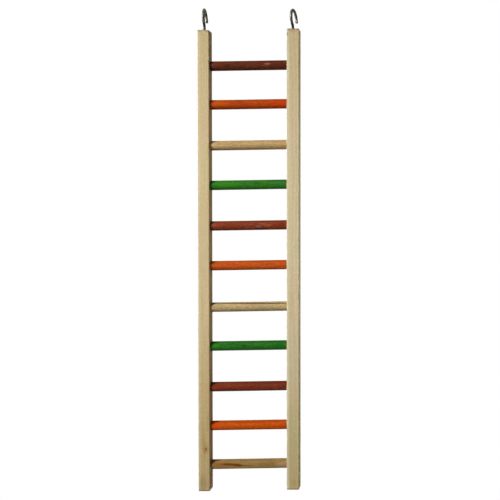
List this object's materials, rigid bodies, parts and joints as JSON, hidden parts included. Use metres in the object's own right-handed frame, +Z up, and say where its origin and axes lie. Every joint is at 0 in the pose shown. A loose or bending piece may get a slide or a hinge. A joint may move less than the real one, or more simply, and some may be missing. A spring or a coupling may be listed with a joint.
{
  "type": "bird ladder",
  "caption": "Straight wooden cage ladder for a pet bird: stained dowel rungs between square rails, with a plated screw hook in the top of each rail.",
  "frame": {"origin": "on the ladder's centre line, level with the inside of the hooks' crowns, where the cage bar bears", "axes": "+X along the rungs from the left rail to the right one as seen from the front, +Y towards the back, where the hooks open and the cage wall stands, +Z up along the rails"},
  "size_m": [0.1278, 0.0231, 0.613],
  "materials": {
    "rail_wood": "bare planed softwood, pale",
    "rung_red_brown": "dowel with a thin red-brown food-grade stain",
    "rung_orange": "dowel with a thin orange food-grade stain",
    "rung_natural": "bare hardwood dowel",
    "rung_green": "dowel with a thin green food-grade stain",
    "hook_steel": "bright plated steel wire"
  },
  "bodies": {
    "root": {"rail_left": "rail_wood", "rail_right": "rail_wood", "hook_left": "hook_steel", "hook_right": "hook_steel", "rung_01": "rung_red_brown", "rung_02": "rung_orange", "rung_03": "rung_natural", "rung_04": "rung_green", "rung_05": "rung_red_brown", "rung_06": "rung_orange", "rung_07": "rung_natural", "rung_08": "rung_green", "rung_09": "rung_red_brown", "rung_10": "rung_orange", "rung_11": "rung_natural"}
  },
  "joints": []
}
